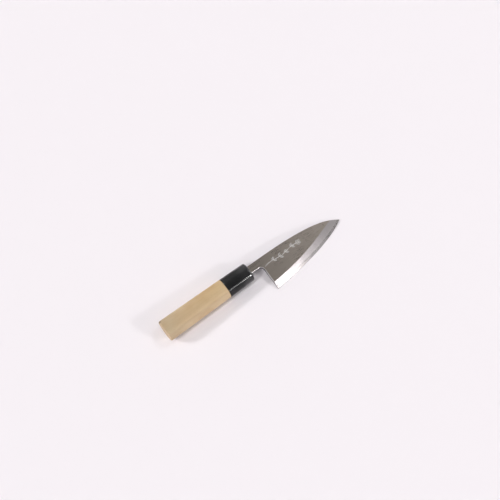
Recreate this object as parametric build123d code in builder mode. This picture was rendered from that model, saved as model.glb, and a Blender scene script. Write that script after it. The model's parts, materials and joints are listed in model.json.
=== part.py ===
import os
from math import hypot, radians, tan

from build123d import *

os.makedirs("parts", exist_ok=True)

# A small deba, ground on one side only, lying on a table on its flat back.
# Places on the knife are x, y, z: x from the ferrule's front face towards the tip,
# y from the grip's axis towards the spine, z from the grip's axis towards the ground side.

# Grip: ferrule and wooden handle follow one D-shaped taper
grip_length = 115.5
front_width = 22.5
front_thickness = 18.0
butt_width = 25.3
butt_thickness = 20.6
crown_shares = ((1, 0), (1, 0.70), (0.50, 1.0), (-0.40, 1.03))
ridge_radius = 2.2
ridge_turn = 48
butt_chamfer = 0.9

# Ferrule: a black cup over the tenon, with a slot for the neck in its face
ferrule_length = 33.5
ferrule_wall = 2.4
ferrule_face = 4.0
ferrule_round = 1.8
tenon_clearance = 0.1
tenon_end_gap = 0.3

# Blade outline
heel_gap = 15.6
blade_run = 107.1
blade_height = 40.2
spine_rise = 5.4
tip_drop = 17.0
neck_height = 9.0
notch_radius = 4.5
spine_tip_angle = -32
edge_heel_angle = 5
edge_tip_angle = 31
spine_arm_shares = (0.71, 0.13)
edge_arm_shares = (0.32, 0.24)
rest_share = 0.5

# Blade section
spine_thickness = 4.3
tip_thickness = 1.7
bevel_width = 8.7
bevel_end_shares = (0.911, 0.682)
shinogi_heel_angle = 3
shinogi_tip_angle = 12
shinogi_arm_shares = (0.53, 0.16)
edge_land = 0.15
arris = 0.4

# Hollow in the blade's back, inside a flat rim
hollow_inset = 0.9
hollow_depth = 0.45
hollow_lip = 0.08
hollow_end_share = 0.05
hollow_deep_share = 0.35

# Hard steel under the softer iron, thinner towards the tip
steel_heel = 1.45
steel_tip = 0.6
steel_run_in = 6.0

# Tang
shoulder_depth = 3.0
tang_length = 84.0
tang_height = 8.2
tang_end_height = 5.0
tang_thickness = 3.9
tang_end_thickness = 2.4
tang_clearance = 0.15
tang_end_gap = 2.0

# Resin round the neck, in the ferrule's slot
seal_width = 0.9
seal_recess = 0.4

overrun = 2.0
run_past_share = 0.08
rule_past_share = 0.3

neck_rise = spine_rise - neck_height
neck_middle = spine_rise - neck_height / 2
blade_back = -spine_thickness / 2
heel = Vector(heel_gap, spine_rise - blade_height)
tip = Vector(heel_gap + blade_run, spine_rise - tip_drop)


def grip_halves(behind, inset=0):
    along = behind / grip_length
    width = front_width + (butt_width - front_width) * along
    thickness = front_thickness + (butt_thickness - front_thickness) * along
    return width / 2 - inset, thickness / 2 - inset


def bowed(start, end, start_angle, end_angle, arm_shares):
    # Control points of a line that leaves start and reaches end at the given angles
    run = end.X - start.X
    leave = Vector(1, tan(radians(start_angle))) * run * arm_shares[0]
    reach = Vector(1, tan(radians(end_angle))) * run * arm_shares[1]
    return [start, start + leave, end - reach, end]


spine_start = Vector(heel_gap, spine_rise)
spine_points = bowed(spine_start, tip, 0, spine_tip_angle, spine_arm_shares)
edge_points = bowed(heel, tip, edge_heel_angle, edge_tip_angle, edge_arm_shares)


def table_under_knife():
    # The knife rests on the ferrule's round front and on its edge's belly
    low_edge = Edge.make_bezier(*[p + Vector(0, 0, blade_back) for p in edge_points])
    belly, belly_run = low_edge @ rest_share, low_edge % rest_share
    half_width, half_thickness = grip_halves(ferrule_round)
    tilt = 0
    for _ in range(12):
        reach = hypot(half_width * tilt, half_thickness)
        rim = Vector(-ferrule_round, half_width**2 * tilt / reach, -(half_thickness**2) / reach)
        normal = belly_run.cross(rim - belly).normalized()
        tilt = -normal.Y / normal.Z
    along = (Vector(1, 0, 0) - normal * normal.X).normalized()
    table = Plane(rim, x_dir=along, z_dir=normal)

    # Its origin goes under the middle of the knife
    butt_back = table.to_local_coords(Vector(-grip_length, 0, -butt_thickness / 2))
    butt_side = table.to_local_coords(Vector(-grip_length, butt_width / 2, 0))
    middle_x = (butt_back.X + table.to_local_coords(low_edge @ 1).X) / 2
    middle_y = (butt_side.Y + table.to_local_coords(low_edge @ 0).Y) / 2
    return Plane(table.from_local_coords(Vector(middle_x, middle_y)), x_dir=along, z_dir=normal)


knife = Plane(table_under_knife().location.inverse())


def place(x, y, z=0):
    return knife.from_local_coords(Vector(x, y, z))


def across(behind):
    # Section plane behind the ferrule's front, with its x to the spine and its y to the ground side
    return Plane(place(-behind, 0), x_dir=knife.y_dir, z_dir=knife.x_dir)


def grip_section(behind, inset=0):
    half_width, half_thickness = grip_halves(behind, inset)
    crown = [(half_width * u, half_thickness * v) for u, v in crown_shares]
    with BuildSketch(across(behind)) as section:
        with BuildLine():
            upper = Bezier(*crown)
            ridge = JernArc(upper @ 1, upper % 1, ridge_radius, ridge_turn)
            Spline(ridge @ 1, (-half_width, 0), tangents=(ridge % 1, (0, -1)))
            EllipticalCenterArc((0, 0), half_width, half_thickness, 180, arc_size=180)
        make_face()
    return section.sketch.face()


def tang_section(behind, clearance=0):
    along = (behind - shoulder_depth) / (tang_length - shoulder_depth)
    height = tang_height + (tang_end_height - tang_height) * along
    thickness = tang_thickness + (tang_end_thickness - tang_thickness) * along
    with BuildSketch(across(behind)) as section:
        with Locations((neck_middle, 0)):
            Rectangle(height + 2 * clearance, thickness + 2 * clearance)
    return section.sketch.face()


def run_past(points, past_share):
    # The same curve, run on past both its ends
    def blend(*turns):
        row = points
        for turn in turns:
            row = [a + (b - a) * turn for a, b in zip(row, row[1:])]
        return row[0]

    first, last = -past_share, 1 + past_share
    return [
        blend(first, first, first),
        blend(first, first, last),
        blend(first, last, last),
        blend(last, last, last),
    ]


def falling(heel_value, tip_value, x):
    return heel_value + (tip_value - heel_value) * (x - heel_gap) / blade_run


# The bevel is ruled between the edge and the shinogi, where it meets the flat of the blade
bevel_end = spine_start + Vector(blade_run * bevel_end_shares[0], -tip_drop * bevel_end_shares[1])
shinogi_points = bowed(
    heel + Vector(0, bevel_width),
    bevel_end,
    shinogi_heel_angle,
    shinogi_tip_angle,
    shinogi_arm_shares,
)
edge_high = [p + Vector(0, 0, blade_back + edge_land) for p in edge_points]
shinogi_high = [
    p + Vector(0, 0, blade_back + falling(spine_thickness, tip_thickness, p.X)) for p in shinogi_points
]


def ruled_line(share):
    low = run_past(edge_high, run_past_share)
    high = run_past(shinogi_high, run_past_share)
    with BuildLine() as line:
        Bezier(*[knife.from_local_coords(a + (b - a) * share) for a, b in zip(low, high)])
    return line.line.edge()


bevel = Face.make_surface_from_curves(ruled_line(-rule_past_share), ruled_line(1 + rule_past_share))


def falling_plane(heel_value, tip_value):
    # A plane above the blade's back, square to its heel, that falls towards the tip
    origin = place(heel_gap, 0, blade_back + heel_value)
    along = place(tip.X, 0, blade_back + tip_value) - origin
    return Plane(origin, x_dir=along, z_dir=along.cross(knife.y_dir))


def on_back(point, lift=0):
    return place(point.X, point.Y, blade_back + lift)


def hollow_face():
    # A shallow dish whose lip lies just under the back, so that a flat rim is left round it
    inner_heel = heel + Vector(hollow_inset, hollow_inset)
    inner_spine = spine_start + Vector(hollow_inset, -hollow_inset)
    inner_tip = tip - Vector(blade_run * hollow_end_share, 0)
    spine_side = bowed(inner_spine, inner_tip, 0, spine_tip_angle, spine_arm_shares)
    edge_side = bowed(inner_heel, inner_tip, edge_heel_angle, edge_tip_angle, edge_arm_shares)
    with BuildLine() as rim:
        Bezier(*[on_back(p, -hollow_lip) for p in spine_side])
        Bezier(*[on_back(p, -hollow_lip) for p in edge_side])
        Line(on_back(inner_heel, -hollow_lip), on_back(inner_spine, -hollow_lip))
    middle = (inner_heel + inner_spine) / 2
    deepest = middle + (inner_tip - middle) * hollow_deep_share
    return Face.make_surface(rim.edges(), surface_points=[on_back(deepest, hollow_depth)])


def beside_notch(edge):
    middle = knife.to_local_coords(edge @ 0.5)
    return middle.X < heel_gap + arris and middle.Y < neck_rise + arris


# Blade blank, before the two metals are told apart
with BuildPart() as blank:
    with BuildSketch(knife.offset(blade_back)):
        with BuildLine():
            Line((-shoulder_depth, spine_rise), spine_start)
            Bezier(*spine_points)
            Bezier(*edge_points)
            notch = FilletPolyline(
                heel, (heel_gap, neck_rise), (-shoulder_depth, neck_rise), radius=notch_radius
            )
            Line(notch @ 1, (-shoulder_depth, spine_rise))
        make_face()
    extrude(amount=spine_thickness)
    split(bisect_by=falling_plane(spine_thickness, tip_thickness), keep=Keep.BOTTOM)
    extrude(bevel, amount=spine_thickness, dir=knife.z_dir, mode=Mode.SUBTRACT)
    extrude(hollow_face(), amount=overrun, dir=-knife.z_dir, mode=Mode.SUBTRACT)
    flat = blank.faces().sort_by_distance(place(heel_gap, 0, -blade_back))[0]
    notch_edges = [edge for edge in flat.edges() if beside_notch(edge)]
    chamfer(notch_edges, arris)
    loft(sections=[tang_section(shoulder_depth), tang_section(tang_length)])

with BuildPart() as cutting_steel:
    add(blank.part)
    split(bisect_by=falling_plane(steel_heel, steel_tip), keep=Keep.BOTTOM)
    split(bisect_by=across(steel_run_in - heel_gap), keep=Keep.TOP)
cutting_steel.part.label = "cutting_steel"

with BuildPart() as blade_body:
    add(blank.part)
    add(cutting_steel.part, mode=Mode.SUBTRACT)
blade_body.part.label = "blade_body"

with BuildPart() as ferrule:
    loft(sections=[grip_section(0), grip_section(ferrule_length)])
    loft(
        sections=[
            grip_section(ferrule_face, ferrule_wall),
            grip_section(ferrule_length + overrun, ferrule_wall),
        ],
        mode=Mode.SUBTRACT,
    )
    fillet(ferrule.faces().sort_by_distance(place(0, 0))[0].outer_wire().edges(), ferrule_round)
    with BuildSketch(across(-overrun)):
        with Locations((neck_middle, 0)):
            Rectangle(neck_height + 2 * seal_width, spine_thickness + 2 * seal_width)
    extrude(amount=-overrun - ferrule_face - overrun, mode=Mode.SUBTRACT)
ferrule.part.label = "ferrule"

with BuildPart() as handle:
    loft(sections=[grip_section(ferrule_length), grip_section(grip_length)])
    butt = handle.faces().sort_by_distance(place(-grip_length, 0))[0]
    chamfer(butt.edges(), butt_chamfer)
    tenon_inset = ferrule_wall + tenon_clearance
    loft(
        sections=[
            grip_section(ferrule_face + tenon_end_gap, tenon_inset),
            grip_section(ferrule_length, tenon_inset),
        ]
    )
    loft(
        sections=[
            tang_section(ferrule_face, tang_clearance),
            tang_section(tang_length + tang_end_gap, tang_clearance),
        ],
        mode=Mode.SUBTRACT,
    )
handle.part.label = "handle"

with BuildPart() as tang_seal:
    with BuildSketch(across(seal_recess)):
        with Locations((neck_middle, 0)):
            Rectangle(neck_height + 2 * seal_width, spine_thickness + 2 * seal_width)
    extrude(amount=seal_recess - ferrule_face)
    add(blank.part, mode=Mode.SUBTRACT)
tang_seal.part.label = "tang_seal"

export_step(blade_body.part, "parts/blade_body.step")
export_step(cutting_steel.part, "parts/cutting_steel.step")
export_step(ferrule.part, "parts/ferrule.step")
export_step(handle.part, "parts/handle.step")
export_step(tang_seal.part, "parts/tang_seal.step")
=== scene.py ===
import json
import math

import bmesh
import bpy
from mathutils import Matrix, Vector


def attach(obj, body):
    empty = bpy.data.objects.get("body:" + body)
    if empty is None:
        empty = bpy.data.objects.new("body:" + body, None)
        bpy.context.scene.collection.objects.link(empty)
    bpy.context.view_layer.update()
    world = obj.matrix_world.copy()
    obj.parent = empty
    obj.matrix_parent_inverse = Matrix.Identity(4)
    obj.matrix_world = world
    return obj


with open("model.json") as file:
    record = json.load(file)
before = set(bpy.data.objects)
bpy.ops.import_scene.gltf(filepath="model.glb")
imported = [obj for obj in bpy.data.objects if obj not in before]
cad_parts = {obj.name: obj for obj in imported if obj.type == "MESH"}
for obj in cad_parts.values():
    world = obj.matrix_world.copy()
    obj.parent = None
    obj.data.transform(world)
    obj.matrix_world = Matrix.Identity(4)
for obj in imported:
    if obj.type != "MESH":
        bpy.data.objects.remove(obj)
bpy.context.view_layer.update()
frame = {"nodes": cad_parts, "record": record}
nodes = frame["nodes"]
mm = 0.001
print("frame loaded:", ", ".join(sorted(nodes)))

# The knife's own axes come from the record's mounts: along it to the tip, and off the blade's flat back.
# The pattern coordinates and the ornament count from the middle of the ferrule's front, in millimetres.
mounts = {mount["name"]: mount for mount in frame["record"]["mounts"]}
alongKnife = -Vector(mounts["grip"]["axis"]).normalized()
offBack = -Vector(mounts["blade_back"]["axis"]).normalized()
towardsSpine = offBack.cross(alongKnife).normalized()
gripPlace = Vector(mounts["grip"]["pos_m"])


def reachOf(node, axis):
    places = [vertex.co.dot(axis) for vertex in nodes[node].data.vertices]
    return min(places), max(places)


ferruleFront = gripPlace + alongKnife * (reachOf("ferrule", alongKnife)[1] - gripPlace.dot(alongKnife))
knifeFrame = Matrix((alongKnife, towardsSpine, offBack)).transposed().to_4x4()
knifeFrame.translation = ferruleFront


def backEnd(node):
    # Where the node ends towards the butt, in the pattern coordinates
    return (reachOf(node, alongKnife)[0] - ferruleFront.dot(alongKnife)) / mm


# Shader helpers

def newMaterial(name):
    material = bpy.data.materials.new(name)
    material.use_nodes = True
    return material, material.node_tree, material.node_tree.nodes["Principled BSDF"]


def feed(tree, node, socket, value):
    target = node.inputs[socket]
    if isinstance(value, bpy.types.NodeSocket):
        tree.links.new(value, target)
    else:
        target.default_value = value


def addNode(tree, kind, settings=None, **sockets):
    made = tree.nodes.new(kind)
    for key, value in (settings or {}).items():
        setattr(made, key, value)
    for key, value in sockets.items():
        feed(tree, made, key, value)
    return made


def feedInOrder(tree, made, values):
    for index, value in enumerate(values):
        feed(tree, made, index, value)
    return made.outputs


def maths(tree, operation, *values, clamp=False):
    made = addNode(tree, "ShaderNodeMath", {"operation": operation, "use_clamp": clamp})
    return feedInOrder(tree, made, values)["Value"]


def product(tree, first, *others):
    for value in others:
        first = maths(tree, "MULTIPLY", first, value)
    return first


def total(tree, first, *others):
    for value in others:
        first = maths(tree, "ADD", first, value)
    return first


def vectorMaths(tree, operation, *values, result="Vector"):
    made = addNode(tree, "ShaderNodeVectorMath", {"operation": operation})
    return feedInOrder(tree, made, values)[result]


def blendValues(tree, share, first, second):
    made = addNode(tree, "ShaderNodeMix", {"data_type": "FLOAT"})
    for index, value in ((0, share), (2, first), (3, second)):
        feed(tree, made, index, value)
    return made.outputs[0]


def blendColours(tree, share, first, second, how="MIX"):
    made = addNode(tree, "ShaderNodeMix", {"data_type": "RGBA", "blend_type": how, "clamp_result": True})
    for index, value in ((0, share), (6, first), (7, second)):
        feed(tree, made, index, value)
    return made.outputs[2]


def lighten(tree, colour, value):
    return addNode(tree, "ShaderNodeHueSaturation", Color=colour, Value=value).outputs["Color"]


def remap(tree, value, low, high, newLow=0.0, newHigh=1.0, smooth=True):
    made = addNode(tree, "ShaderNodeMapRange", {"interpolation_type": "SMOOTHSTEP" if smooth else "LINEAR"})
    feed(tree, made, "Value", value)
    for key, number in (("From Min", low), ("From Max", high), ("To Min", newLow), ("To Max", newHigh)):
        feed(tree, made, key, number)
    return made.outputs["Result"]


def partsOf(tree, vector):
    return addNode(tree, "ShaderNodeSeparateXYZ", Vector=vector).outputs


def stretched(tree, place, scale):
    return addNode(tree, "ShaderNodeMapping", Vector=place, Scale=scale).outputs["Vector"]


def noise(tree, place, scale=1.0, detail=2.0, roughness=0.5):
    made = addNode(tree, "ShaderNodeTexNoise", Vector=place, Scale=scale, Detail=detail, Roughness=roughness)
    return made.outputs["Fac"]


# Most of a noise lies within the wide run, and its patches show best over the narrow one
wideRun = (0.3, 0.7)
narrowRun = (0.35, 0.65)


def knifeCoordinates(tree):
    # Object coordinates turned into the knife's own axes, in millimetres
    place = addNode(tree, "ShaderNodeTexCoord").outputs["Object"]
    turned = addNode(tree, "ShaderNodeMapping", {"vector_type": "TEXTURE"}, Vector=place, Scale=(mm, mm, mm))
    feed(tree, turned, "Location", ferruleFront)
    feed(tree, turned, "Rotation", knifeFrame.to_euler())
    return turned.outputs["Vector"]


def bumpFrom(tree, height, strength, distance, normal=None):
    bump = addNode(tree, "ShaderNodeBump", Height=height, Strength=strength, Distance=distance)
    if normal is not None:
        feed(tree, bump, "Normal", normal)
    return bump.outputs["Normal"]


def newGroup(name, inputs, outputs):
    group = bpy.data.node_groups.new(name, "ShaderNodeTree")
    for socket, kind, value in inputs:
        made = group.interface.new_socket(name=socket, in_out="INPUT", socket_type="NodeSocket" + kind)
        if value is not None:
            made.default_value = value
    for socket, kind in outputs:
        group.interface.new_socket(name=socket, in_out="OUTPUT", socket_type="NodeSocket" + kind)
    return group, group.nodes.new("NodeGroupInput").outputs, group.nodes.new("NodeGroupOutput")


def useGroup(tree, group, **sockets):
    return addNode(tree, "ShaderNodeGroup", {"node_tree": group}, **sockets).outputs


def makeGrindLines():
    # Fine lines that run along X of the vector, and a broader unevenness that runs with them
    bandShare = 0.13
    group, given, sink = newGroup(
        "grindLines",
        (
            ("Vector", "Vector", None),
            ("Along", "Float", 0.04),
            ("Across", "Float", 6.0),
            ("Detail", "Float", 3.0),
        ),
        (("Lines", "Float"), ("Bands", "Float")),
    )
    stretch = addNode(group, "ShaderNodeCombineXYZ", X=given["Along"], Y=given["Across"], Z=given["Across"])
    fine = vectorMaths(group, "MULTIPLY", given["Vector"], stretch.outputs["Vector"])
    broad = vectorMaths(group, "MULTIPLY", fine, (bandShare, bandShare, bandShare))
    feed(group, sink, "Lines", remap(group, noise(group, fine, detail=given["Detail"]), *wideRun))
    feed(group, sink, "Bands", remap(group, noise(group, broad), *wideRun))
    return group


def makeScratches():
    # Sparse hairlines in one direction, as use and cleaning leave them: the crests of a drawn-out noise
    hairline = {"stretch": (0.05, 3.2, 0.4), "detail": 3.0, "roughness": 0.7, "crest": 0.74, "sharpness": 9.0}
    group, given, sink = newGroup(
        "scratches",
        (("Vector", "Vector", None), ("Turn", "Float", 0.5), ("Share", "Float", 0.1)),
        (("Scratches", "Float"),),
    )
    turned = addNode(group, "ShaderNodeVectorRotate", {"rotation_type": "Z_AXIS"}, Vector=given["Vector"])
    feed(group, turned, "Angle", given["Turn"])
    drawn = stretched(group, turned.outputs["Vector"], hairline["stretch"])
    height = noise(group, drawn, detail=hairline["detail"], roughness=hairline["roughness"])
    crest = maths(group, "SUBTRACT", hairline["crest"], given["Share"])
    above = maths(group, "SUBTRACT", height, crest, clamp=True)
    feed(group, sink, "Scratches", maths(group, "MULTIPLY", above, hairline["sharpness"], clamp=True))
    return group


def makeSoftEdges():
    # Normals rounded over the edges, and a mask of those edges: how far the two normals lie apart
    samples = 6
    edgeRun = (0.995, 0.85)
    group, given, sink = newGroup(
        "softEdges", (("Radius", "Float", 0.3 * mm),), (("Normal", "Vector"), ("Edge", "Float")))
    bevelled = addNode(group, "ShaderNodeBevel", {"samples": samples}, Radius=given["Radius"])
    rounded = bevelled.outputs["Normal"]
    plain = addNode(group, "ShaderNodeNewGeometry").outputs["Normal"]
    alike = vectorMaths(group, "DOT_PRODUCT", rounded, plain, result="Value")
    feed(group, sink, "Normal", rounded)
    feed(group, sink, "Edge", remap(group, alike, *edgeRun))
    return group


grindLines = makeGrindLines()
scratches = makeScratches()
softEdges = makeSoftEdges()


def dress(node, material):
    slots = nodes[node].data.materials
    slots.clear()
    slots.append(material)


# Blade: soft iron over hard steel

# A run names the two places, in millimetres, or the two values between which a tone or a mask changes
blade = {
    "ironFlat": (0.318, 0.279, 0.247, 1),
    "ironBevel": (0.188, 0.173, 0.175, 1),
    "steelFlat": (0.50, 0.50, 0.51, 1),
    "steelBevel": (0.172, 0.161, 0.159, 1),
    # Painted shade for the notch's wall below its polished rim
    "paintedWallShade": (0.10, 0.09, 0.085, 1),
    "polished": (0.95, 0.93, 0.93, 1),
    "scratch": (0.75, 0.75, 0.75, 1),
    "ironRoughness": 0.30,
    "steelRoughness": 0.28,
    "flatLines": {"Along": 0.035, "Across": 4.5},
    "bevelLines": {"Along": 0.05, "Across": 4.5},
    "hairs": ({"Turn": 0.45, "Share": 0.09}, {"Turn": -1.1, "Share": 0.06}),
    "leastTone": 0.94,
    "lineTone": 0.07,
    "bandTone": 0.05,
    # Painted light and shade on the flat: lighter towards the tip, darker at the neck and towards the spine
    "flatTipLight": 1.26,
    "flatTipLightRun": (15.0, 100.0),
    "neckShade": 0.985,
    "neckShadeRun": (0.0, 35.0),
    "spineShade": (0.93, 0.886),
    "spineRun": (-20.0, 3.0),
    # Painted light on the bevel, growing towards the tip
    "bevelTipLight": 2.2,
    "bevelTipLightRun": (57.0, 90.0),
    "hairTone": 0.25,
    "cloudScale": 0.06,
    "cloudRoughness": 0.012,
    "lineRoughness": 0.06,
    "hairRoughness": 0.08,
    "polish": 0.08,
    "grindDepth": 0.004 * mm,
    "grindStrength": 0.5,
    "hairDepth": 0.6,
    "bevelLean": (0.9955, 0.9925),
    "wallLean": (0.9, 0.6),
    "edgeCentre": (9.7, 251.0, 0.0),
    "edgeRadius": 286.0,
    "keenRun": (283.0, 281.0),
    "arris": 0.12 * mm,
    "softRidge": 0.45 * mm,
    "softRun": (45.0, 85.0),
    "notchRound": 0.9 * mm,
    "notchEndRun": (17.5, 16.0),
    "notchTopRun": (1.5, 0.0),
    "notchArrisRun": (0.9, 1.5),
}


def facingFlat(tree):
    # 1 where the surface lies like the blade's back, and less the more it leans
    normal = addNode(tree, "ShaderNodeNewGeometry").outputs["True Normal"]
    return maths(tree, "ABSOLUTE", vectorMaths(tree, "DOT_PRODUCT", normal, offBack, result="Value"))


def acrossEdge(tree, place):
    # X runs square to the cutting edge and Y along it, round the centre of the edge's bow
    parts = partsOf(tree, vectorMaths(tree, "SUBTRACT", place, blade["edgeCentre"]))
    turn = maths(tree, "ARCTAN2", parts["X"], product(tree, parts["Y"], -1.0))
    flat = addNode(tree, "ShaderNodeCombineXYZ", X=parts["X"], Y=parts["Y"]).outputs["Vector"]
    distance = vectorMaths(tree, "LENGTH", flat, result="Value")
    along = product(tree, turn, blade["edgeRadius"])
    return addNode(tree, "ShaderNodeCombineXYZ", X=distance, Y=along, Z=parts["Z"]).outputs["Vector"]


def bladeMaterial(name, flatColour, bevelColour, roughness):
    material, tree, shader = newMaterial(name)
    place = knifeCoordinates(tree)
    parts = partsOf(tree, place)
    byEdge = acrossEdge(tree, place)
    facing = facingFlat(tree)
    bevel = remap(tree, facing, *blade["bevelLean"])

    # The stones run along the flat, and square to the edge on the bevel
    onFlat = useGroup(tree, grindLines, Vector=place, **blade["flatLines"])
    onBevel = useGroup(tree, grindLines, Vector=byEdge, **blade["bevelLines"])
    lines, bands = [blendValues(tree, bevel, onFlat[key], onBevel[key]) for key in ("Lines", "Bands")]
    sets = [useGroup(tree, scratches, Vector=place, **settings)["Scratches"] for settings in blade["hairs"]]
    hairs = maths(tree, "MAXIMUM", *sets)

    # They leave the ridge between flat and bevel softer towards the tip, and the notch's rim is rounded
    nearNotch = product(tree,
                        remap(tree, parts["X"], *blade["notchEndRun"]),
                        remap(tree, parts["Y"], *blade["notchTopRun"]))
    behindEdge = remap(tree, partsOf(tree, byEdge)["X"], *blade["keenRun"])
    tipward = product(tree, remap(tree, parts["X"], *blade["softRun"]), behindEdge)
    ridge = remap(tree, tipward, 0.0, 1.0, blade["arris"], blade["softRidge"], smooth=False)
    edges = useGroup(tree, softEdges, Radius=blendValues(tree, nearNotch, ridge, blade["notchRound"]))

    # The notch's walls are polished along their upper rim, and below it they get a painted shade, a dark
    # colour for the shade and dark reflection in the notch
    wall = remap(tree, facing, *blade["wallLean"])
    upper = remap(tree, parts["Z"], *blade["notchArrisRun"])
    polished = product(tree, maths(tree, "MAXIMUM", wall, edges["Edge"]), nearNotch, upper)
    shadedWall = product(tree, wall, nearNotch, maths(tree, "SUBTRACT", 1.0, upper))

    # Painted light and shade: the flat lighter towards the tip and darker at the neck and towards the spine,
    # the bevel lighter towards the tip
    flatLightAndShade = product(tree,
                       remap(tree, parts["X"], *blade["flatTipLightRun"], 1.0, blade["flatTipLight"], smooth=False),
                       remap(tree, parts["X"], *blade["neckShadeRun"], blade["neckShade"], 1.0),
                       remap(tree, parts["Y"], *blade["spineRun"], *blade["spineShade"]))
    bevelLight = remap(tree, parts["X"], *blade["bevelTipLightRun"], 1.0, blade["bevelTipLight"])
    ofLines = product(tree, lines, blade["lineTone"])
    ofBands = product(tree, bands, blade["bandTone"])
    grind = total(tree, ofLines, ofBands, blade["leastTone"])
    tone = product(tree, grind, blendValues(tree, bevel, flatLightAndShade, bevelLight))
    ground = lighten(tree, blendColours(tree, bevel, flatColour, bevelColour), tone)
    worn = blendColours(tree, product(tree, hairs, blade["hairTone"]), ground, blade["scratch"])
    withWallShade = blendColours(tree, shadedWall, worn, blade["paintedWallShade"])
    feed(tree, shader, "Base Color", blendColours(tree, polished, withWallShade, blade["polished"]))

    clouds = noise(tree, place, blade["cloudScale"], detail=3.0)
    uneven = remap(tree, clouds, *narrowRun, -blade["cloudRoughness"], blade["cloudRoughness"])
    lined = product(tree, lines, blade["lineRoughness"])
    haired = product(tree, hairs, blade["hairRoughness"])
    rough = total(tree, lined, uneven, roughness - blade["lineRoughness"] / 2, haired)
    smoothed = maths(tree, "SUBTRACT", rough, product(tree, polished, blade["polish"]))
    feed(tree, shader, "Roughness", smoothed)
    feed(tree, shader, "Metallic", 1.0)
    height = maths(tree, "SUBTRACT", lines, product(tree, hairs, blade["hairDepth"]))
    normal = bumpFrom(tree, height, blade["grindStrength"], blade["grindDepth"], edges["Normal"])
    feed(tree, shader, "Normal", normal)
    return material


softIron = bladeMaterial("softIron", blade["ironFlat"], blade["ironBevel"], blade["ironRoughness"])
hardSteel = bladeMaterial("hardSteel", blade["steelFlat"], blade["steelBevel"], blade["steelRoughness"])
dress("blade_body", softIron)
dress("cutting_steel", hardSteel)
print("blade: soft iron and hard steel ground")


# Handle: pale, fine-grained wood

wood = {
    "pale": (0.595, 0.461, 0.296, 1),
    "mid": (0.534, 0.396, 0.249, 1),
    "warm": (0.99, 0.905, 0.74, 1),
    "dark": (0.40, 0.275, 0.155, 1),
    "pore": (0.27, 0.18, 0.10, 1),
    "cloudStretch": (0.03, 0.07, 0.07),
    "frontRun": (-110.0, -40.0),
    "frontWarmth": 0.8,
    "spineRun": (-8.0, 4.0),
    "lowerWarmth": 0.3,
    "cloudWarmth": 0.25,
    "buttTone": 0.855,
    "buttRun": (-112.0, -85.0),
    # Painted light: the edge's side of the handle paler
    "lowerLight": 1.22,
    "lowerLightRun": (0.0, -9.0),
    "pith": (0.0, 46.0, -58.0),
    "alongPith": 0.02,
    "drift": (0.012, 0.05, 0.05),
    "wander": 4.0,
    "ringPitch": 2.3,
    "lateWood": (0.55, 0.98),
    "ringEnd": (0.985, 1.0),
    "ringShare": 0.10,
    "fibres": {"Along": 0.03, "Across": 3.4, "Detail": 5.0},
    "fibreShare": 0.08,
    "bandShare": 0.12,
    "poreStretch": (0.22, 5.5, 5.5),
    "poreRun": (0.64, 0.74),
    "poreShare": 0.45,
    "endGrain": 0.08,
    "endDepth": 0.25,
    "rimDirt": 0.18,
    # Dirt and painted gap shade at the ferrule's joint
    "jointDirtAndShade": 0.55,
    "jointReach": 0.7,
    "darkSpot": (-115.0, 11.1, 4.7),
    "darkSpotRun": (2.1, 1.05),
    "darkSpotShare": 0.85,
    "darkSpotColour": (0.10, 0.085, 0.06, 1),
    "roughness": 0.58,
    "fibreRoughness": 0.10,
    "specular": 0.35,
    "fibreDepth": 0.4,
    "grainDepth": 0.05 * mm,
    "grainStrength": 0.35,
    "edgeRadius": 0.35 * mm,
}


def growthRings(tree, place):
    # Rings round a pith outside the handle, wandering a little along it, each dark towards its end
    fromPith = vectorMaths(tree, "SUBTRACT", place, wood["pith"])
    square = vectorMaths(tree, "MULTIPLY", fromPith, (wood["alongPith"], 1.0, 1.0))
    distance = vectorMaths(tree, "LENGTH", square, result="Value")
    wander = product(tree, noise(tree, stretched(tree, place, wood["drift"])), wood["wander"])
    spread = maths(tree, "DIVIDE", total(tree, distance, wander), wood["ringPitch"])
    ring = maths(tree, "FRACT", spread)
    return product(tree, remap(tree, ring, *wood["lateWood"]), remap(tree, ring, *wood["ringEnd"], 1.0, 0.0))


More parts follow.
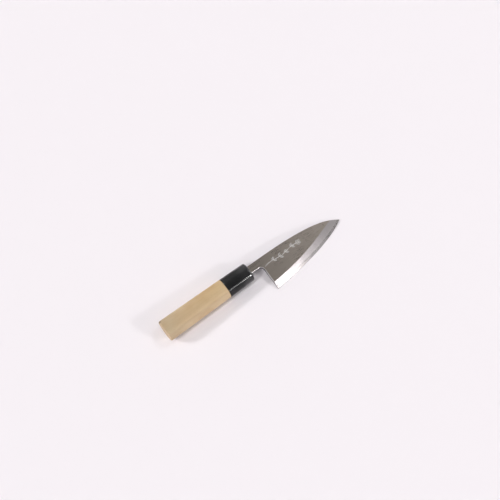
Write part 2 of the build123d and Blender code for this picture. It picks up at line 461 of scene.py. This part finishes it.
def woodMaterial():
    material, tree, shader = newMaterial("paleWood")
    place = knifeCoordinates(tree)
    parts = partsOf(tree, place)

    # Warmer towards the front and the spine's side, darker at the butt, and paler on the edge's side as
    # painted light
    clouds = remap(tree, noise(tree, stretched(tree, place, wood["cloudStretch"])), *narrowRun)
    ground = blendColours(tree, clouds, wood["pale"], wood["mid"])
    toFront = remap(tree, parts["X"], *wood["frontRun"], 0.0, wood["frontWarmth"])
    toSpine = remap(tree, parts["Y"], *wood["spineRun"], wood["lowerWarmth"], 1.0)
    warmth = total(tree, product(tree, toFront, toSpine), product(tree, clouds, wood["cloudWarmth"]))
    warmed = blendColours(tree, warmth, ground, wood["warm"], how="MULTIPLY")
    toButt = remap(tree, parts["X"], *wood["buttRun"], wood["buttTone"], 1.0)
    litLower = remap(tree, parts["Y"], *wood["lowerLightRun"], 1.0, wood["lowerLight"])
    toned = lighten(tree, warmed, product(tree, toButt, litLower))

    # Rings, and fibres and pores drawn out along the handle
    rings = growthRings(tree, place)
    fibres = useGroup(tree, grindLines, Vector=place, **wood["fibres"])
    pores = remap(tree, noise(tree, stretched(tree, place, wood["poreStretch"])), *wood["poreRun"])
    ringed = blendColours(tree, product(tree, rings, wood["ringShare"]), toned, wood["dark"])
    lined = blendColours(tree, product(tree, fibres["Lines"], wood["fibreShare"]), ringed, wood["dark"])
    banded = blendColours(tree, product(tree, fibres["Bands"], wood["bandShare"]), lined, wood["pale"])
    pored = blendColours(tree, product(tree, pores, wood["poreShare"]), banded, wood["pore"])

    # The end grain is darker, hands darken the rims, and at the ferrule's joint there is dirt and a painted
    # shade of the gap
    butt, joint = backEnd("handle"), backEnd("ferrule")
    atButt = remap(tree, parts["X"], butt + wood["endDepth"], butt, 0.0, wood["endGrain"])
    edges = useGroup(tree, softEdges, Radius=wood["edgeRadius"])
    handled = maths(tree, "MAXIMUM", atButt, product(tree, edges["Edge"], wood["rimDirt"]))
    fromJoint = maths(tree, "ABSOLUTE", maths(tree, "SUBTRACT", parts["X"], joint))
    dirtAndGapShade = remap(tree, fromJoint, 0.0, wood["jointReach"], wood["jointDirtAndShade"], 0.0)
    shaded = blendColours(tree, maths(tree, "MAXIMUM", handled, dirtAndGapShade), pored, wood["dark"])

    # One dark spot on the butt's rim
    fromDarkSpot = vectorMaths(tree, "DISTANCE", place, wood["darkSpot"], result="Value")
    darkSpot = remap(tree, fromDarkSpot, *wood["darkSpotRun"], 0.0, wood["darkSpotShare"])
    feed(tree, shader, "Base Color", blendColours(tree, darkSpot, shaded, wood["darkSpotColour"]))

    fibreRoughness = product(tree, fibres["Lines"], wood["fibreRoughness"])
    rough = total(tree, fibreRoughness, wood["roughness"] - wood["fibreRoughness"] / 2)
    feed(tree, shader, "Roughness", rough)
    feed(tree, shader, "Specular IOR Level", wood["specular"])
    height = maths(tree, "SUBTRACT", product(tree, fibres["Lines"], wood["fibreDepth"]), pores)
    normal = bumpFrom(tree, height, wood["grainStrength"], wood["grainDepth"], edges["Normal"])
    feed(tree, shader, "Normal", normal)
    return material


dress("handle", woodMaterial())
print("handle: wood grained")


# Ferrule: black horn, polished most at its front

horn = {
    "black": (0.003, 0.003, 0.004, 1),
    "streak": (0.014, 0.013, 0.012, 1),
    "streakShare": 0.6,
    "streaks": {"Along": 0.05, "Across": 0.9},
    "scratch": (0.08, 0.08, 0.08, 1),
    "scratchShare": 0.3,
    "hairs": {"Turn": 1.35, "Share": 0.07},
    "roughness": 0.22,
    "buffing": {"Along": 1.2, "Across": 0.05},
    "buffRoughness": 0.05,
    "hairRoughness": 0.15,
    "gloss": 0.31,
    "polish": (-18.0, -7.0, 0.05, 1.0),
    "polishRoughness": 0.11,
    "polishIor": 1.40,
    "waveScale": 0.16,
    "waveDepth": 0.25 * mm,
    "waveStrength": 0.015,
    "hairDepth": 0.04,
    "edgeRadius": 3.0 * mm,
}


def hornMaterial():
    material, tree, shader = newMaterial("blackHorn")
    place = knifeCoordinates(tree)
    streaks = useGroup(tree, grindLines, Vector=place, **horn["streaks"])
    buffing = useGroup(tree, grindLines, Vector=place, **horn["buffing"])["Bands"]
    hairs = useGroup(tree, scratches, Vector=place, **horn["hairs"])["Scratches"]
    edges = useGroup(tree, softEdges, Radius=horn["edgeRadius"])
    streak = product(tree, streaks["Bands"], streaks["Lines"], horn["streakShare"])
    coloured = blendColours(tree, streak, horn["black"], horn["streak"])
    scratched = blendColours(tree, product(tree, hairs, horn["scratchShare"]), coloured, horn["scratch"])
    feed(tree, shader, "Base Color", scratched)
    buffed = product(tree, buffing, horn["buffRoughness"])
    haired = product(tree, hairs, horn["hairRoughness"])
    feed(tree, shader, "Roughness", total(tree, buffed, horn["roughness"], haired))
    feed(tree, shader, "Specular IOR Level", horn["gloss"])
    feed(tree, shader, "Coat Weight", remap(tree, partsOf(tree, place)["X"], *horn["polish"]))
    feed(tree, shader, "Coat Roughness", horn["polishRoughness"])
    feed(tree, shader, "Coat IOR", horn["polishIor"])
    wave = noise(tree, place, horn["waveScale"], detail=1.0)
    height = maths(tree, "SUBTRACT", wave, product(tree, hairs, horn["hairDepth"]))
    normal = bumpFrom(tree, height, horn["waveStrength"], horn["waveDepth"], edges["Normal"])
    feed(tree, shader, "Normal", normal)
    return material


dress("ferrule", hornMaterial())


# Seal: brittle dark resin round the neck

resin = {
    "dark": (0.030, 0.024, 0.020, 1),
    "pale": (0.075, 0.060, 0.048, 1),
    "toneRun": (0.35, 0.7),
    "roughness": (0.38, 0.62),
    "lumpScale": 1.1,
    "lumpDepth": 0.2 * mm,
    "lumpStrength": 0.5,
}


def resinMaterial():
    material, tree, shader = newMaterial("neckResin")
    lumps = noise(tree, knifeCoordinates(tree), resin["lumpScale"], detail=4.0)
    tone = remap(tree, lumps, *resin["toneRun"])
    feed(tree, shader, "Base Color", blendColours(tree, tone, resin["dark"], resin["pale"]))
    feed(tree, shader, "Roughness", remap(tree, lumps, *wideRun, *resin["roughness"]))
    feed(tree, shader, "Normal", bumpFrom(tree, lumps, resin["lumpStrength"], resin["lumpDepth"]))
    return material


dress("tang_seal", resinMaterial())
print("ferrule: polished, neck sealed")


# Ornament on the flat of the blade: a leafy sprig with a blossom, in thin bright lines

# Each leaf has its share of the stem, its length, its half width and its angle
sprig = {
    "start": (17.5, -6.2),
    "end": (65.0, -5.0),
    "bow": 0.9,
    "bows": 1.5,
    "stemWidth": 0.40,
    "stemCuts": 4,
    "stemOverlap": 1.06,
    "lineWidth": 0.32,
    "pointShare": 0.25,
    "fullness": 0.6,
    "steps": 14,
    "probe": 0.02,
    "leaves": (
        (0.24, 4.4, 0.75, 40), (0.27, 4.2, 0.70, -42), (0.42, 5.0, 0.90, 42), (0.45, 4.8, 0.85, -42),
        (0.60, 4.4, 0.75, 38), (0.63, 4.2, 0.70, -40), (0.80, 4.6, 0.80, 44), (0.83, 4.4, 0.75, -44),
    ),
    "bellyPower": 0.85,
    "rootGap": 0.25,
    "leafRib": 0.72,
    "ribWidth": 0.256,
    "petals": 5,
    "petal": (3.1, 0.95),
    "petalRib": 0.4,
    "blossomRadius": 0.45,
    "blossomGap": 0.9,
    "proud": 0.03,
    "sunk": 0.08,
    "cutDull": (0.72, 0.71, 0.70, 1),
    "cutBright": (0.92, 0.91, 0.90, 1),
    "roughness": (0.5, 0.7),
    "burrScale": 2.4,
    "burrDepth": 0.03 * mm,
    "burrStrength": 0.4,
}


def newObject(name, data):
    made = bpy.data.objects.new(name, data)
    bpy.context.scene.collection.objects.link(made)
    return made


def newPiece(name, mesh):
    data = bpy.data.meshes.new(name)
    mesh.to_mesh(data)
    mesh.free()
    return newObject(name, data)


def grownVertices(grown):
    return [item for item in grown["geom"] if isinstance(item, bmesh.types.BMVert)]


def bladeFlat():
    # A point and the normal of the blade's flat in knife coordinates, from its largest polygon
    leastFacing = 0.99
    polygons = nodes["blade_body"].data.polygons
    facing = [polygon for polygon in polygons if polygon.normal.dot(offBack) > leastFacing]
    largest = max(facing, key=lambda polygon: polygon.area)
    inverse = knifeFrame.inverted()
    return inverse @ largest.center / mm, (inverse.to_3x3() @ largest.normal).normalized()


flatPoint, flatNormal = bladeFlat()
print("flat of the blade:", [round(v, 3) for v in flatPoint], [round(v, 4) for v in flatNormal])


def flatHeight(x, y):
    return flatPoint.z - ((x - flatPoint.x) * flatNormal.x + (y - flatPoint.y) * flatNormal.y) / flatNormal.z


def stemPoint(share):
    middle = Vector(sprig["start"]).lerp(Vector(sprig["end"]), share)
    return Vector((middle.x, middle.y + sprig["bow"] * math.sin(share * math.tau * sprig["bows"])))


def cutStroke(mesh, path, width):
    # One cut of the graver: widest in its middle and fine at both ends
    verts = bmesh.ops.create_grid(mesh, x_segments=sprig["steps"], y_segments=1, size=0.5)["verts"]
    for vertex in verts:
        share = vertex.co.x + 0.5
        ahead, behind = path(min(1, share + sprig["probe"])), path(max(0, share - sprig["probe"]))
        run = (ahead - behind).normalized()
        swell = math.sin(math.pi * share) ** sprig["fullness"] if 0 < share < 1 else 0
        half = vertex.co.y * width * (sprig["pointShare"] + (1 - sprig["pointShare"]) * swell)
        place = path(share) + Vector((-run.y, run.x)) * half
        vertex.co = (place.x, place.y, flatHeight(place.x, place.y) - sprig["sunk"])
    faces = list(dict.fromkeys(face for vertex in verts for face in vertex.link_faces))
    raised = grownVertices(bmesh.ops.extrude_face_region(mesh, geom=faces))
    bmesh.ops.translate(mesh, verts=raised, vec=(0, 0, sprig["sunk"] + sprig["proud"]))


def cutLeaf(mesh, root, length, halfWidth, angle, rib):
    # Two bowed margins that are a little apart at the root, and a rib between them
    turn = Matrix.Rotation(math.radians(angle), 2)

    def margin(side):
        def path(along):
            belly = math.sin(math.pi * along ** sprig["bellyPower"]) * halfWidth * side
            return root + turn @ Vector((length * along, belly + sprig["rootGap"] * side * (1 - along)))
        return path

    cutStroke(mesh, margin(1), sprig["lineWidth"])
    cutStroke(mesh, margin(-1), sprig["lineWidth"])
    cutStroke(mesh, lambda along: root + turn @ Vector((length * rib * along, 0)), sprig["ribWidth"])


def stemPart(cut):
    # A stretch of the stem, a little longer than its share, so that the stretches join
    def path(along):
        return stemPoint(min(1, (cut + along * sprig["stemOverlap"]) / sprig["stemCuts"]))
    return path


def makeSprig():
    mesh = bmesh.new()
    for cut in range(sprig["stemCuts"]):
        cutStroke(mesh, stemPart(cut), sprig["stemWidth"])
    for share, length, halfWidth, angle in sprig["leaves"]:
        cutLeaf(mesh, stemPoint(share), length, halfWidth, angle, sprig["leafRib"])
    blossom = stemPoint(1) + Vector((sprig["blossomGap"], 0))
    for petal in range(sprig["petals"]):
        angle = 360 * (petal + 0.5) / sprig["petals"]
        out = Matrix.Rotation(math.radians(angle), 2) @ Vector((sprig["blossomRadius"], 0))
        cutLeaf(mesh, blossom + out, *sprig["petal"], angle, sprig["petalRib"])
    bmesh.ops.recalc_face_normals(mesh, faces=mesh.faces)
    bmesh.ops.scale(mesh, verts=mesh.verts, vec=(mm, mm, mm))
    bmesh.ops.transform(mesh, verts=mesh.verts, matrix=knifeFrame)
    return newPiece("engraved_sprig", mesh)


def cutLineMaterial():
    material, tree, shader = newMaterial("cutLine")
    burr = noise(tree, knifeCoordinates(tree), sprig["burrScale"], detail=3.0)
    tone = remap(tree, burr, *wideRun)
    feed(tree, shader, "Base Color", blendColours(tree, tone, sprig["cutDull"], sprig["cutBright"]))
    feed(tree, shader, "Roughness", remap(tree, burr, *wideRun, *sprig["roughness"]))
    feed(tree, shader, "Normal", bumpFrom(tree, burr, sprig["burrStrength"], sprig["burrDepth"]))
    return material


sprigPiece = makeSprig()
sprigPiece.data.materials.append(cutLineMaterial())
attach(sprigPiece, "root")
print("ornament: sprig cut, faces", len(sprigPiece.data.polygons))


# Studio: pale floor that sweeps up far behind, soft lamps and a grey room

studio = {
    "floor": (0.92, 0.875, 0.905, 1),
    "floorRoughness": 0.75,
    "floorSpecular": 0.2,
    "floorRadius": 2.4,
    "floorSides": 96,
    "sweep": ((2.7, 0.05), (2.9, 0.25), (3.0, 0.6), (3.05, 1.1)),
}
room = {
    "lightLow": (0.06, 0.06, 0.06, 1),
    "lightHigh": (0.34, 0.34, 0.34, 1),
    "lightRise": (0.45, 0.68),
    "shownLow": (1.0, 1.0, 1.0, 1),
    "shownHigh": (0.37, 0.37, 0.37, 1),
    "shownRise": (0.42, 0.82),
    "windowLift": 0.60,
}
# Matt lamps only shade and cast shadows, gloss lamps only show in what is polished, the others do both
softLamps = {
    "leftLamp": {"azimuth": -127.7, "elevation": 32.5, "spread": 8.0, "strength": 1.38},
    "topPanel": {"azimuth": -100.0, "elevation": 76.0, "spread": 30.0, "strength": 0.18},
    "sideLamp": {"azimuth": 37.0, "elevation": 29.0, "spread": 7.0, "strength": 0.60, "only": "matt"},
    "endLamp": {"azimuth": -90.0, "elevation": 48.0, "spread": 14.0, "strength": 0.95, "only": "matt"},
    "tipLamp": {"azimuth": 95.0, "elevation": 52.0, "spread": 12.0, "strength": 0.33, "only": "matt"},
    "rightLamp": {"azimuth": 42.0, "elevation": 28.0, "spread": 7.0, "strength": 0.12, "only": "gloss"},
    "rightPanel": {"azimuth": 25.0, "elevation": 36.0, "spread": 18.0, "strength": 0.40, "only": "gloss"},
    "eastPanel": {"azimuth": 100.0, "elevation": 48.0, "spread": 14.0, "strength": 0.65, "only": "gloss"},
    "rightGlint": {"azimuth": 19.5, "elevation": 37.5, "spread": 2.0, "strength": 1.0, "only": "gloss"},
}
view = {
    "target": (0.01515, 0.03299, 0.0),
    "azimuth": -37.47,
    "elevation": 70.0,
    "distance": 1.06363,
    "lens": 67.18,
    "clip": (0.01, 50.0),
}


def direction(azimuth, elevation):
    # Azimuth 0 looks along +Y from -Y
    a, e = math.radians(azimuth), math.radians(elevation)
    return Vector((math.sin(a) * math.cos(e), -math.cos(a) * math.cos(e), math.sin(e)))


def aimFrom(thing, away):
    # The thing looks back along the way it stands off
    thing.rotation_mode = "QUATERNION"
    thing.rotation_quaternion = away.to_track_quat("Z", "Y")


def makeFloor():
    mesh = bmesh.new()
    bmesh.ops.create_circle(mesh, cap_ends=True, segments=studio["floorSides"], radius=studio["floorRadius"])
    for radius, height in studio["sweep"]:
        rim = [edge for edge in mesh.edges if edge.is_boundary]
        for vertex in grownVertices(bmesh.ops.extrude_edge_only(mesh, edges=rim)):
            flat = Vector((vertex.co.x, vertex.co.y, 0)).normalized() * radius
            vertex.co = (flat.x, flat.y, height)
    bmesh.ops.recalc_face_normals(mesh, faces=mesh.faces)
    floor = newPiece("studio_floor", mesh)
    for polygon in floor.data.polygons:
        polygon.use_smooth = len(polygon.vertices) == 4
    material, tree, shader = newMaterial("paleFloor")
    feed(tree, shader, "Base Color", studio["floor"])
    feed(tree, shader, "Roughness", studio["floorRoughness"])
    feed(tree, shader, "Specular IOR Level", studio["floorSpecular"])
    floor.data.materials.append(material)


def makeLamp(name, settings):
    light = bpy.data.lights.new(name, "SUN")
    light.energy = settings["strength"]
    light.angle = math.radians(settings["spread"])
    lamp = newObject(name, light)
    aimFrom(lamp, direction(settings["azimuth"], settings["elevation"]))
    lamp.visible_diffuse = settings.get("only") != "gloss"
    lamp.visible_glossy = settings.get("only") != "matt"


def makeCamera():
    data = bpy.data.cameras.new("camera")
    data.lens = view["lens"]
    data.clip_start, data.clip_end = view["clip"]
    camera = newObject("camera", data)
    away = direction(view["azimuth"], view["elevation"])
    camera.location = Vector(view["target"]) + away * view["distance"]
    aimFrom(camera, away)
    bpy.context.scene.camera = camera


def makeRoom():
    # The ceiling gives most of the room's light, and the gloss shows its paler walls.
    # They are pale to a greater height on the window's side, along +Y.
    world = bpy.data.worlds.new("room")
    bpy.context.scene.world = world
    world.use_nodes = True
    tree = world.node_tree
    parts = partsOf(tree, addNode(tree, "ShaderNodeTexCoord").outputs["Generated"])
    height = parts["Z"]
    seenHeight = maths(tree, "SUBTRACT", height, product(tree, parts["Y"], room["windowLift"]))
    lit = remap(tree, height, *room["lightRise"])
    shownShare = remap(tree, seenHeight, *room["shownRise"])
    light = blendColours(tree, lit, room["lightLow"], room["lightHigh"])
    shown = blendColours(tree, shownShare, room["shownLow"], room["shownHigh"])
    rays = addNode(tree, "ShaderNodeLightPath").outputs
    seen = maths(tree, "MAXIMUM", rays["Is Camera Ray"], rays["Is Glossy Ray"])
    feed(tree, tree.nodes["Background"], "Color", blendColours(tree, seen, light, shown))
    bpy.context.scene.view_settings.view_transform = "Standard"


makeFloor()
for lampName, lampSettings in softLamps.items():
    makeLamp(lampName, lampSettings)
makeRoom()
makeCamera()
print("studio: floor, lamps and camera set")
